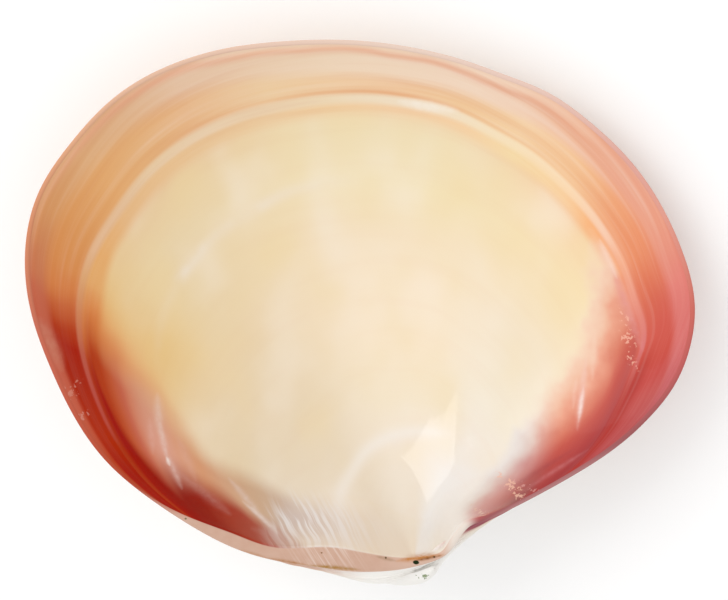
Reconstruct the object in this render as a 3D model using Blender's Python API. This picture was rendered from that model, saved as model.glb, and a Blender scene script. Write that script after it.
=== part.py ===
# One valve of a lucine clam, lying on its convex back with the hollow up.
# +X is the front of the animal, +Y the belly margin, +Z up out of the hollow.
import math

import bpy
import numpy as np
from mathutils import Vector
from mathutils.bvhtree import BVHTree

mm = 0.001

# Margin of the valve where it met its twin: x, y and lip width, all in millimetres.
# It runs from the belly margin round the hind end, along the hinge and back by the front.
margin = [
    (0.5, 32.4, 0.9), (-11.3, 32.2, 0.9), (-17.6, 31.2, 0.9), (-24.0, 29.0, 0.9),
    (-29.9, 25.3, 0.9), (-34.7, 20.2, 0.9), (-38.6, 14.2, 0.9), (-40.2, 7.1, 0.9),
    (-39.5, -0.1, 0.9), (-37.2, -6.7, 0.9), (-34.3, -12.7, 0.9), (-30.5, -18.0, 0.9),
    (-25.8, -22.1, 0.9), (-20.9, -25.4, 1.1), (-15.7, -28.2, 1.8), (-10.4, -29.9, 1.6),
    (-5.0, -30.8, 2.6), (-1.2, -31.3, 2.7), (3.6, -31.2, 1.8), (7.0, -30.6, 1.1),
    (10.0, -29.5, 0.7), (11.4, -28.1, 0.9), (13.0, -26.0, 0.9), (15.1, -25.1, 0.9),
    (21.0, -22.3, 0.9), (29.9, -17.0, 0.9), (34.9, -12.6, 0.9), (38.4, -7.7, 0.9),
    (40.2, -0.1, 0.9), (38.9, 6.6, 0.9), (36.1, 12.8, 0.9), (32.3, 18.2, 0.9),
    (27.6, 22.7, 0.9), (22.6, 26.2, 0.9), (17.0, 28.5, 0.9), (11.5, 30.4, 0.9),
]

# Growth spiral of the outside, from the margin back to the beak.
beak = (9.41, -30.41)
hingeSlant = math.radians(17.0)
turnPerFold = 0.69
curl = 10.1
smallestRing = 0.035
rimThickness = 0.8
rimRound = 0.012

# Wall and hollow, in millimetres.
lipHeight = 0.28
wallAtLip = 0.7
wallGain = 1.2
wallGainOver = 9.0
cavityDepth = 22.0
cavityRun = 1.0
cavityRunAtHinge = 7.0
hingeMiddle = (0.0, -30.5)
hingeReach = 9.5
deepest = (3.0, -9.0)

# How the valve lies: turned a little about X and Y, on a spot worn flat.
restPitch = math.radians(-11.2)
restRoll = math.radians(7.5)
wornFlat = 0.35

raysAround = 96
ringsOutside = 23
ringsInside = 15


def closedCurve(points, count):
    # A smooth closed curve through the points, read at evenly spaced stations.
    knots = np.array(points, float)
    following = np.roll(knots, -1, axis=0)
    spans = np.sqrt(np.linalg.norm((following - knots)[:, :2], axis=1))
    before = np.roll(spans, 1)
    size = len(knots)
    matrix = np.zeros((size, size))
    for i in range(size):
        matrix[i, i - 1] += before[i]
        matrix[i, i] += 2 * (before[i] + spans[i])
        matrix[i, (i + 1) % size] += spans[i]
    slopes = (following - knots) / spans[:, None]
    bends = np.linalg.solve(matrix, 6 * (slopes - np.roll(slopes, 1, axis=0)))
    starts = np.concatenate([[0], np.cumsum(spans)])
    stations = np.linspace(0, starts[-1], count, endpoint=False)
    at = np.searchsorted(starts, stations, side="right") - 1
    span = spans[at][:, None]
    right = (stations - starts[at])[:, None] / span
    left = 1 - right
    bent = (left**3 - left) * bends[at] + (right**3 - right) * np.roll(bends, -1, axis=0)[at]
    return left * knots[at] + right * following[at] + bent * span**2 / 6


def inward(curve):
    # Unit vectors across the margin, pointing into the valve.
    along = (np.roll(curve, -1, axis=0) - np.roll(curve, 1, axis=0))[:, :2]
    across = np.stack([-along[:, 1], along[:, 0]], axis=1)
    return across / np.linalg.norm(across, axis=1)[:, None]


def outsideRing(curve, size):
    # The margin as it was when the valve had this share of its full size.
    turn = -turnPerFold * math.log(size)
    cosine, sine = math.cos(hingeSlant), math.sin(hingeSlant)
    fromBeak = curve[:, :2] - np.array(beak)
    along = fromBeak @ np.array([cosine, sine])
    across = fromBeak @ np.array([-sine, cosine])
    x = size * along - curl * math.sqrt(size) * (1 - size)
    y = size * across * math.cos(turn)
    z = -size * across * math.sin(turn) - rimThickness * (1 - math.exp((size - 1) / rimRound))
    return np.stack([beak[0] + x * cosine - y * sine, beak[1] + x * sine + y * cosine, z], axis=1)


def outsideRings(curve, count):
    sizes = np.exp(np.linspace(0, 1, count - 1) ** 1.15 * math.log(smallestRing))
    return [outsideRing(curve, size) for size in (1.0, 1 - rimRound, *sizes[1:])]


def lipRings(curve):
    # Two rings over the rounded lip; the second stands a little inside the first.
    across = inward(curve)
    rings = []
    for share in (0.28, 0.72):
        flat = curve[:, :2] + across * curve[:, 2:] * share
        rings.append(np.column_stack([flat, np.full(len(curve), lipHeight)]))
    return rings


def gridFaces(rings, around):
    faces = []
    for ring in range(rings - 1):
        for ray in range(around):
            near, far = ring * around, (ring + 1) * around
            beside = (ray + 1) % around
            faces.append((near + ray, near + beside, far + beside, far + ray))
    return faces


def outsideTree(curve):
    # The outside as a fine surface that the inside is measured from.
    rings = outsideRings(curve, 90)
    points = [Vector(point) for point in np.concatenate(rings)]
    return BVHTree.FromPolygons(points, gridFaces(len(rings), len(curve)))


def cavityHeight(places, lip, runs):
    # How deep the hollow may be by its distance from the lip, gently under the hinge.
    apart = np.linalg.norm(places[:, None] - lip[None], axis=2)
    return cavityDepth * (1 - np.exp(-apart / runs)).min(axis=1), apart.min(axis=1)


def insideHeights(tree, places, lip, runs):
    cavity, fromLip = cavityHeight(places, lip, runs)
    wall = wallAtLip + wallGain * (1 - np.exp(-fromLip / wallGainOver))
    heights = np.zeros(len(places))
    for i, (x, y) in enumerate(places):
        hit, normal, _, _ = tree.ray_cast(Vector((x, y, 5.0)), Vector((0, 0, -1)))
        floor = 0.0 if hit is None else -hit.z - wall[i] / max(abs(normal.z), 0.45)
        floor = (floor + math.hypot(floor, 0.3)) / 2
        heights[i] = -floor * cavity[i] / max((floor**4 + cavity[i]**4) ** 0.25, 1e-6)
    return heights


def insideRings(curve, fine, tree, count):
    # The hollow, from the inner edge of the lip down to its deepest place.
    lip = curve[:, :2] + inward(curve) * curve[:, 2:]
    fineLip = fine[:, :2] + inward(fine) * fine[:, 2:]
    fromHinge = np.linalg.norm(fineLip - np.array(hingeMiddle), axis=1)
    runs = cavityRun + cavityRunAtHinge * np.exp(-((fromHinge / hingeReach) ** 2))
    centre = np.array(deepest)
    rings = []
    for share in np.linspace(0, 1, count + 1)[:-1] ** 1.35:
        places = lip + (centre - lip) * share
        heights = insideHeights(tree, places, fineLip, runs)
        rings.append(np.column_stack([places, heights]))
    return rings


def laidDown(points):
    # Turned to lie as the valve rests, with the lowest spot worn flat.
    pitch, roll = restPitch, restRoll
    aboutX = np.array([
        [1, 0, 0],
        [0, math.cos(pitch), -math.sin(pitch)],
        [0, math.sin(pitch), math.cos(pitch)],
    ])
    aboutY = np.array([
        [math.cos(roll), 0, math.sin(roll)],
        [0, 1, 0],
        [-math.sin(roll), 0, math.cos(roll)],
    ])
    turned = points @ aboutX.T @ aboutY.T
    lowest = turned[:, 2].min() + wornFlat
    turned[:, 2] = np.maximum(turned[:, 2], lowest)
    middle = (turned.min(axis=0) + turned.max(axis=0)) / 2
    return turned - np.array([middle[0], middle[1], lowest])


def shellMaterial():
    material = bpy.data.materials.new("polished shell")
    material.use_nodes = True
    surface = material.node_tree.nodes["Principled BSDF"]
    surface.inputs["Base Color"].default_value = (0.86, 0.68, 0.48, 1)
    surface.inputs["Roughness"].default_value = 0.25
    surface.inputs["Metallic"].default_value = 0.0
    return material


def makeValve():
    curve = closedCurve(margin, raysAround)
    fine = closedCurve(margin, raysAround * 3)
    outside = outsideRings(curve, ringsOutside)
    inside = insideRings(curve, fine, outsideTree(fine), ringsInside)
    rings = outside[::-1] + lipRings(curve) + inside
    last = inside[-1][:, 2].mean()
    poles = np.array([(beak[0], beak[1], -rimThickness), (deepest[0], deepest[1], last)])
    points = laidDown(np.concatenate(rings + [poles]))

    faces = gridFaces(len(rings), raysAround)
    first, final = len(points) - 2, len(points) - 1
    lastRing = (len(rings) - 1) * raysAround
    for ray in range(raysAround):
        beside = (ray + 1) % raysAround
        faces.append((first, beside, ray))
        faces.append((final, lastRing + ray, lastRing + beside))

    mesh = bpy.data.meshes.new("valve")
    mesh.from_pydata((points * mm).tolist(), [], faces)
    mesh.update()
    mesh.shade_smooth()
    mesh.set_sharp_from_angle(angle=math.radians(50))
    mesh.materials.append(shellMaterial())
    valve = bpy.data.objects.new("valve", mesh)
    bpy.context.scene.collection.objects.link(valve)
    return valve


for old in list(bpy.data.objects):
    bpy.data.objects.remove(old, do_unlink=True)
makeValve()
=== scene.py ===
# The valve of a lucine shell, seen into its polished hollow on a pale table.
import math

import bpy
import numpy as np
from mathutils import Matrix, Vector


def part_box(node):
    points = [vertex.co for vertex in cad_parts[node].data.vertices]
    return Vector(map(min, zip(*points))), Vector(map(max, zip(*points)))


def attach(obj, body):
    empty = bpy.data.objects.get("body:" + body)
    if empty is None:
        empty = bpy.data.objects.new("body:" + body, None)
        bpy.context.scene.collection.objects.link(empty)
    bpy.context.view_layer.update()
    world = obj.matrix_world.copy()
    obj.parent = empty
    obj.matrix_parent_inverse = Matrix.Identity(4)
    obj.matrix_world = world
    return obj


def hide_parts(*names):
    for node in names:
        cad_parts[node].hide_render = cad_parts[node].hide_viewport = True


mm = 0.001
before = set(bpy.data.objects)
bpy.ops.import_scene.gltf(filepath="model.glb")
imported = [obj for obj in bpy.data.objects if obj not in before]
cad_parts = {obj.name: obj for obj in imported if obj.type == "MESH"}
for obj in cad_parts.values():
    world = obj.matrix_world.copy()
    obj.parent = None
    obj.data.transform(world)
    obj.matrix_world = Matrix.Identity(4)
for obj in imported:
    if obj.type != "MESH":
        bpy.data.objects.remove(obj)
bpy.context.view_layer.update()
print("frame loaded")


class Kit:
    # Lays nodes in a tree and wires them, for shapes and for finishes alike.
    def __init__(self, tree):
        self.tree = tree

    def wire(self, value, socket):
        if isinstance(value, bpy.types.NodeSocket):
            self.tree.links.new(value, socket)
        elif value is not None:
            socket.default_value = value

    def add(self, kind, inputs=None, **settings):
        node = self.tree.nodes.new(kind)
        for name, value in settings.items():
            setattr(node, name, value)
        for name, value in (inputs or {}).items():
            self.wire(value, node.inputs[name])
        return node

    def sum(self, operation, *values):
        node = self.add("ShaderNodeMath", operation=operation)
        for place, value in enumerate(values):
            self.wire(value, node.inputs[place])
        return node.outputs[0]

    def plus(self, first, second):
        return self.sum("ADD", first, second)

    def less(self, first, second):
        return self.sum("SUBTRACT", first, second)

    def over(self, first, second):
        return self.sum("DIVIDE", first, second)

    def vector(self, operation, *values):
        node = self.add("ShaderNodeVectorMath", operation=operation)
        for place, value in enumerate(values):
            self.wire(value, node.inputs[place])
        return node.outputs["Value" if operation in ("DISTANCE", "DOT_PRODUCT") else "Vector"]

    def scaled(self, vector, share):
        node = self.add("ShaderNodeVectorMath", operation="SCALE")
        self.wire(vector, node.inputs[0])
        self.wire(share, node.inputs["Scale"])
        return node.outputs["Vector"]

    def parts(self, vector):
        return self.add("ShaderNodeSeparateXYZ", {0: vector}).outputs

    def whole(self, x, y, z):
        return self.add("ShaderNodeCombineXYZ", {0: x, 1: y, 2: z}).outputs[0]

    def turned(self, vector, angle):
        node = self.add("ShaderNodeVectorRotate", rotation_type="Z_AXIS")
        self.wire(vector, node.inputs["Vector"])
        self.wire(angle, node.inputs["Angle"])
        return node.outputs[0]

    def rise(self, value, low, high):
        # 0 at low, 1 at high, smooth between; low may be above high
        node = self.add("ShaderNodeMapRange", interpolation_type="SMOOTHSTEP")
        numbers = {"From Min": low, "From Max": high, "To Min": 0.0, "To Max": 1.0}
        if low > high:
            numbers = {"From Min": high, "From Max": low, "To Min": 1.0, "To Max": 0.0}
        for name, number in numbers.items():
            node.inputs[name].default_value = number
        self.wire(value, node.inputs["Value"])
        return node.outputs[0]

    def bump(self, value, middle, width):
        # 1 at the middle and about nothing one and a half widths away
        away = self.over(self.less(value, middle), width)
        return self.sum("EXPONENT", self.sum("MULTIPLY", self.sum("MULTIPLY", away, away), -1.0))

    def times(self, *values):
        result = values[0]
        for value in values[1:]:
            result = self.sum("MULTIPLY", result, value)
        return result

    def noise(self, vector, scale, detail=2.0, roughness=0.5):
        inputs = {"Vector": vector, "Scale": scale, "Detail": detail, "Roughness": roughness}
        return self.add("ShaderNodeTexNoise", inputs).outputs[0]


def shapeTree(name, inputs):
    tree = bpy.data.node_groups.new(name, "GeometryNodeTree")
    tree.interface.new_socket("Geometry", in_out="INPUT", socket_type="NodeSocketGeometry")
    for label, kind in inputs:
        tree.interface.new_socket(label, in_out="INPUT", socket_type="NodeSocket" + kind)
    tree.interface.new_socket("Geometry", in_out="OUTPUT", socket_type="NodeSocketGeometry")
    kit = Kit(tree)
    return tree, kit, kit.add("NodeGroupInput").outputs


def closeTree(kit, geometry, material):
    real = kit.add("GeometryNodeRealizeInstances", {"Geometry": geometry})
    dressed = kit.add("GeometryNodeSetMaterial", {"Geometry": real.outputs[0], "Material": material})
    kit.add("NodeGroupOutput", {"Geometry": dressed.outputs[0]})


def runTree(obj, tree, values):
    # Runs the tree on the object once and keeps the plain mesh it gives.
    modifier = obj.modifiers.new(tree.name, "NODES")
    modifier.node_group = tree
    for item in tree.interface.items_tree:
        if item.item_type == "SOCKET" and item.in_out == "INPUT" and item.name in values:
            modifier[item.identifier] = values[item.name]
    graph = bpy.context.evaluated_depsgraph_get()
    grown = obj.evaluated_get(graph)
    mesh = bpy.data.meshes.new_from_object(grown, preserve_all_data_layers=True, depsgraph=graph)
    obj.modifiers.remove(modifier)
    old = obj.data
    obj.data = mesh
    bpy.data.meshes.remove(old)
    return mesh


def named(kit, name):
    return kit.add("GeometryNodeInputNamedAttribute", {"Name": name}, data_type="FLOAT").outputs[0]


def sheetObject(name, points, faces, **numbers):
    mesh = bpy.data.meshes.new(name)
    mesh.from_pydata(points.tolist(), [], faces)
    for label, values in numbers.items():
        keep(mesh, label, values)
    obj = bpy.data.objects.new(name, mesh)
    bpy.context.scene.collection.objects.link(obj)
    return obj


def keep(mesh, label, values):
    values = np.asarray(values, dtype=np.float32)
    flat = values.ndim == 1
    layer = mesh.attributes.new(label, "FLOAT" if flat else "FLOAT_VECTOR", "POINT")
    layer.data.foreach_set("value" if flat else "vector", values.ravel())


def readPoints(mesh):
    points = np.empty(len(mesh.vertices) * 3, np.float32)
    mesh.vertices.foreach_get("co", points)
    return points.reshape(-1, 3).astype(float)


def readNumbers(mesh, label):
    layer = mesh.attributes[label]
    values = np.empty(len(layer.data), np.float32)
    layer.data.foreach_get("value", values)
    return values.astype(float)


# The valve's outline where it met its twin: x, y and lip width in millimetres.
margin = [
    (0.5, 32.4, 0.6), (-11.3, 32.2, 0.6), (-17.6, 31.2, 0.6), (-24.0, 29.0, 0.6),
    (-29.9, 25.3, 0.6), (-34.7, 20.2, 0.6), (-38.6, 14.2, 0.6), (-40.2, 7.1, 0.6),
    (-39.5, -0.1, 0.6), (-37.2, -6.7, 0.6), (-34.3, -12.7, 0.6), (-30.5, -18.0, 0.5),
    (-25.8, -22.1, 0.25), (-20.9, -25.4, 0.8), (-15.7, -28.2, 1.6), (-10.4, -29.9, 1.6),
    (-5.0, -30.8, 2.6), (-1.2, -31.3, 2.7), (3.6, -31.2, 1.8), (7.0, -30.6, 1.1),
    (10.0, -29.5, 0.7), (11.4, -28.1, 0.9), (13.0, -26.0, 0.8), (15.1, -25.1, 0.6),
    (21.0, -22.3, 0.5), (29.9, -17.0, 0.6), (34.9, -12.6, 0.6), (38.4, -7.7, 0.6),
    (40.2, -0.1, 0.6), (38.9, 6.6, 0.6), (36.1, 12.8, 0.6), (32.3, 18.2, 0.6),
    (27.6, 22.7, 0.6), (22.6, 26.2, 0.6), (17.0, 28.5, 0.6), (11.5, 30.4, 0.6),
]

outside = {
    "Beak": (9.41, -30.41, 0.0),
    "Hinge Slant": math.radians(17.0),
    "Turn per Fold": 0.69,
    "Curl": 10.1,
    "Rim Thickness": 0.8,
    "Rim Round": 0.012,
    "Swelling": 0.85,
    # where it swells beyond the hinge plate, in millimetres: middle and width, depth and reach
    "swelling along": (2.6, 5.2),
    "swelling down": (-0.1, -1.6),
    "swelling back": (-22.0, -30.0),
    "smallest ring": 0.006,
    "ring spread": 0.6,
    "rim steps": (0, 0.15, 0.32, 0.55, 0.85, 1.25, 1.8, 2.5, 3.4),  # rings over the rim, in rim rounds
    "rays": 400,
    "rings": 139,
}


def closedCurve(points, count):
    # A smooth closed curve through the points, read at evenly spaced stations.
    knots = np.array(points, float)
    following = np.roll(knots, -1, axis=0)
    spans = np.sqrt(np.linalg.norm((following - knots)[:, :2], axis=1))
    before = np.roll(spans, 1)
    size = len(knots)
    matrix = np.zeros((size, size))
    for i in range(size):
        matrix[i, i - 1] += before[i]
        matrix[i, i] += 2 * (before[i] + spans[i])
        matrix[i, (i + 1) % size] += spans[i]
    slopes = (following - knots) / spans[:, None]
    bends = np.linalg.solve(matrix, 6 * (slopes - np.roll(slopes, 1, axis=0)))
    starts = np.concatenate([[0], np.cumsum(spans)])
    stations = np.linspace(0, starts[-1], count, endpoint=False)
    at = np.searchsorted(starts, stations, side="right") - 1
    span = spans[at][:, None]
    right = (stations - starts[at])[:, None] / span
    left = 1 - right
    bent = (left**3 - left) * bends[at] + (right**3 - right) * np.roll(bends, -1, axis=0)[at]
    return left * knots[at] + right * following[at] + bent * span**2 / 6


def inward(curve):
    along = (np.roll(curve, -1, axis=0) - np.roll(curve, 1, axis=0))[:, :2]
    across = np.stack([-along[:, 1], along[:, 0]], axis=1)
    return across / np.linalg.norm(across, axis=1)[:, None]


def gridFaces(rings, around):
    ring, ray = np.meshgrid(np.arange(rings - 1), np.arange(around), indexing="ij")
    beside = (ray + 1) % around
    near, far = ring * around, (ring + 1) * around
    return np.stack([near + ray, near + beside, far + beside, far + ray], axis=-1).reshape(-1, 4).tolist()


def growTree(material):
    # Every vertex starts on the margin and goes back to where it was at its share of the size.
    tree, kit, given = shapeTree("grow the outside", [
        ("Beak", "Vector"), ("Hinge Slant", "Float"), ("Turn per Fold", "Float"),
        ("Curl", "Float"), ("Rim Thickness", "Float"), ("Rim Round", "Float"), ("Swelling", "Float"),
    ])
    size = named(kit, "growth")
    place = kit.add("GeometryNodeInputPosition").outputs[0]
    fromBeak = kit.vector("SUBTRACT", place, given["Beak"])
    backwards = kit.sum("MULTIPLY", given["Hinge Slant"], -1.0)
    along, across, _ = kit.parts(kit.turned(fromBeak, backwards))
    turn = kit.times(kit.sum("LOGARITHM", size, math.e), given["Turn per Fold"], -1.0)
    lost = kit.less(1.0, size)
    drift = kit.times(given["Curl"], kit.sum("SQRT", size), lost)
    x = kit.less(kit.times(size, along), drift)
    y = kit.times(size, across, kit.sum("COSINE", turn))
    edge = kit.sum("EXPONENT", kit.over(kit.times(lost, -1.0), given["Rim Round"]))
    rim = kit.times(given["Rim Thickness"], kit.less(edge, 1.0))
    z = kit.less(rim, kit.times(size, across, kit.sum("SINE", turn)))
    grown = kit.vector("ADD", kit.turned(kit.whole(x, y, z), given["Hinge Slant"]), given["Beak"])
    # the swelling that shows beyond the hinge plate
    x, y, z = kit.parts(grown)
    along = kit.bump(x, *outside["swelling along"])
    down, back = (kit.rise(value, *outside["swelling " + side]) for value, side in ((z, "down"), (y, "back")))
    swollen = kit.times(along, down, back)
    beyond = kit.whole(0.0, kit.times(swollen, given["Swelling"], -1.0), 0.0)
    moved = kit.add("GeometryNodeSetPosition", {
        "Geometry": given["Geometry"], "Position": kit.vector("ADD", grown, beyond),
    })
    closeTree(kit, moved.outputs[0], material)
    return tree


def ringSizes():
    # Close together over the rounded rim, then wide apart and closer again towards the beak.
    rim = 1 - outside["Rim Round"] * np.array(outside["rim steps"])
    spread = outside["ring spread"]
    count = outside["rings"] - len(rim) + 1
    back = np.linspace(rim[-1] ** spread, outside["smallest ring"] ** spread, count) ** (1 / spread)
    return np.concatenate([rim, back[1:]])


def makeOutside(curve, material):
    sizes = ringSizes()
    flat = np.column_stack([curve[:, :2], np.zeros(len(curve))])
    points = np.tile(flat, (len(sizes), 1))
    growth = np.repeat(sizes, len(curve))
    grown = sheetObject("outside", points, gridFaces(len(sizes), len(curve)), growth=growth)
    runTree(grown, growTree(material), outside)
    print("outside grown,", len(sizes), "rings")
    return grown, sizes


hollow = {
    "Wall at Lip": 0.7,
    "Wall Gain": 1.2,
    "Gain Over": 9.0,
    "Least Slope": 0.45,
    "Lip Run": 0.8,
    # the floor is looked for from above the lip, and rounded where it starts
    "cast from": 5.0,
    "cast length": 60.0,
    "floor rounding": 0.3,
    "smaller wins": 4.0,  # how sharply the smaller of two depths is taken
    "lip height": 0.16,
    "lip steps": (0.04, 0.12, 0.24, 0.38, 0.54, 0.7, 0.84, 0.95),  # rings over it, in lip widths
    "cavity depth": 22.0,
    "cavity run": 1.0,
    "cavity run at hinge": 7.0,
    "hinge middle": (0.0, -30.5),
    "hinge reach": 9.5,
    "deepest": (3.0, -9.0),
    "rings": 76,
    "ring crowding": 1.12,
    # x, y and reach of the spot beside the notch that is evened out, and of the one that looks old
    "rubbed smooth": (9.5, -27.5, 5.5),
    "rubs": 24,
    "old at notch": (10.0, -28.3, 3.0),
    "growth at notch": 0.18,
}


def hollowTree(material):
    # Drops a flat sheet of rings onto the outside, less the thickness of the wall.
    tree, kit, given = shapeTree("sink the hollow", [
        ("Outside", "Object"), ("Wall at Lip", "Float"), ("Wall Gain", "Float"),
        ("Gain Over", "Float"), ("Least Slope", "Float"), ("Lip Run", "Float"),
    ])
    fromLip, cavity, growth = (named(kit, name) for name in ("fromLip", "cavity", "growth"))
    x, y, _ = kit.parts(kit.add("GeometryNodeInputPosition").outputs[0])
    body = kit.add("GeometryNodeObjectInfo", {"Object": given["Outside"]}).outputs["Geometry"]
    drop = kit.add("GeometryNodeRaycast", {
        "Target Geometry": body, "Attribute": growth, "Source Position": kit.whole(x, y, hollow["cast from"]),
        "Ray Direction": (0.0, 0.0, -1.0), "Ray Length": hollow["cast length"],
    }, data_type="FLOAT")
    depth = kit.sum("MULTIPLY", kit.parts(drop.outputs["Hit Position"])[2], -1.0)
    upright = kit.sum("ABSOLUTE", kit.parts(drop.outputs["Hit Normal"])[2])
    slope = kit.sum("MAXIMUM", upright, given["Least Slope"])
    fading = kit.sum("EXPONENT", kit.over(kit.times(fromLip, -1.0), given["Gain Over"]))
    gained = kit.times(given["Wall Gain"], kit.less(1.0, fading))
    wall = kit.plus(given["Wall at Lip"], gained)
    floor = kit.less(depth, kit.over(wall, slope))
    bent = kit.sum("SQRT", kit.plus(kit.times(floor, floor), hollow["floor rounding"] ** 2))
    sloping = kit.sum("EXPONENT", kit.over(kit.times(fromLip, -1.0), given["Lip Run"]))
    floor = kit.times(kit.plus(floor, bent), 0.5, kit.less(1.0, sloping))
    power = hollow["smaller wins"]
    both = kit.plus(kit.sum("POWER", floor, power), kit.sum("POWER", cavity, power))
    share = kit.sum("MAXIMUM", kit.sum("POWER", both, 1 / power), 1e-6)
    z = kit.times(kit.over(kit.times(floor, cavity), share), -1.0)
    moved = kit.add("GeometryNodeSetPosition", {
        "Geometry": given["Geometry"], "Position": kit.whole(x, y, z),
    })
    stored = kit.add("GeometryNodeStoreNamedAttribute", {
        "Geometry": moved.outputs[0], "Name": "growth", "Value": drop.outputs["Attribute"],
    }, data_type="FLOAT", domain="POINT")
    closeTree(kit, stored.outputs[0], material)
    return tree


def makeHollow(curve, grown, material):
    lip = curve[:, :2] + inward(curve) * curve[:, 2:]
    centre = np.array(hollow["deepest"])
    shares = np.linspace(0, 1, hollow["rings"] + 1)[:-1] ** hollow["ring crowding"]
    places = (lip[None] + (centre - lip)[None] * shares[:, None, None]).reshape(-1, 2)
    fromHinge = np.linalg.norm(lip - np.array(hollow["hinge middle"]), axis=1)
    atHinge = np.exp(-((fromHinge / hollow["hinge reach"]) ** 2))
    runs = hollow["cavity run"] + hollow["cavity run at hinge"] * atHinge
    cavity, fromLip = np.empty(len(places)), np.empty(len(places))
    atOnce = 4000  # places measured in one go, to spare memory
    for start in range(0, len(places), atOnce):
        some = slice(start, start + atOnce)
        apart = np.linalg.norm(places[some][:, None] - lip[None], axis=2)
        fromLip[some] = apart.min(axis=1)
        cavity[some] = hollow["cavity depth"] * (1 - np.exp(-apart / runs)).min(axis=1)
    points = np.column_stack([places, np.zeros(len(places))])
    faces = gridFaces(hollow["rings"], len(curve))
    sunk = sheetObject("hollow", points, faces, fromLip=fromLip, cavity=cavity)
    runTree(sunk, hollowTree(material), hollow | {"Outside": grown})
    print("hollow sunk")
    return sunk


def rubbed(values, places):
    # Evens out the values beside the notch, where the hollow's floor drops from one fold to the next.
    x, y, reach = hollow["rubbed smooth"]
    apart = np.hypot(places[..., 0] - x, places[..., 1] - y)
    share = np.exp(-((apart / reach) ** 2))
    share[0] = 0
    for _ in range(hollow["rubs"]):
        rings = np.concatenate([values[:1], values, values[-1:]])
        near = (rings[:-2] + rings[2:] + np.roll(values, 1, axis=1) + np.roll(values, -1, axis=1)) / 4
        values = values + (near - values) * share
    return values


def lipRings(curve):
    # A rounded crest between the outside and the hollow.
    across = inward(curve)
    rings = []
    for share in hollow["lip steps"]:
        flat = curve[:, :2] + across * curve[:, 2:] * share
        crest = hollow["lip height"] * (1 - abs(2 * share - 1) ** 3)
        rings.append(np.column_stack([flat, np.full(len(curve), crest)]))
    return rings


relief = {
    "Swell": 0.16,
    "Swells": 11.0,
    "Step": 0.07,
    "Steps": 34.0,
    "Rib": 0.03,
    "Ribs": 66.0,
    "drift": 0.012,
    "swells drawn at": (0.3, 0.7),
    "steps drawn at": (3.1, 5.3),
    "outer zone": (0.05, 0.0),
    # by growth
    "ribs from": (0.99, 0.9),
    "less at lip": (0.995, 0.95),
    "less at beak": (0.05, 0.3),
}


def reliefTree(material):
    # Growth lines and faint ribs on the outside, pushed out along its normals.
    tree, kit, given = shapeTree("raise the growth lines", [
        (name, "Float") for name in ("Swell", "Swells", "Step", "Steps", "Rib", "Ribs")
    ])
    growth, zone, ray = (named(kit, name) for name in ("growth", "zone", "ray"))
    swell = kit.noise(kit.whole(kit.times(growth, given["Swells"]), *relief["swells drawn at"]), 1.0, 1.0)
    drift = kit.times(kit.sum("SINE", kit.times(ray, math.tau * 2)), relief["drift"])
    stepped = kit.times(kit.plus(growth, drift), given["Steps"])
    step = kit.noise(kit.whole(stepped, *relief["steps drawn at"]), 1.0, 2.0)
    rib = kit.sum("SINE", kit.times(ray, given["Ribs"], math.tau))
    swell, step = (kit.times(kit.less(value, 0.5), 2.0) for value in (swell, step))
    height = kit.plus(kit.times(swell, given["Swell"]), kit.times(step, given["Step"]))
    height = kit.plus(height, kit.times(rib, given["Rib"], kit.rise(growth, *relief["ribs from"])))
    atLip, atBeak = (kit.rise(growth, *relief["less at " + end]) for end in ("lip", "beak"))
    outer = kit.times(kit.rise(zone, *relief["outer zone"]), atLip, atBeak)
    offset = kit.scaled(kit.add("GeometryNodeInputNormal").outputs[0], kit.times(height, outer))
    moved = kit.add("GeometryNodeSetPosition", {"Geometry": given["Geometry"], "Offset": offset})
    closeTree(kit, moved.outputs[0], material)
    return tree


rest = {"pitch": math.radians(-11.2), "roll": math.radians(7.5), "worn flat": 0.35}
restTurn = Matrix.Rotation(rest["roll"], 3, "Y") @ Matrix.Rotation(rest["pitch"], 3, "X")


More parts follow.
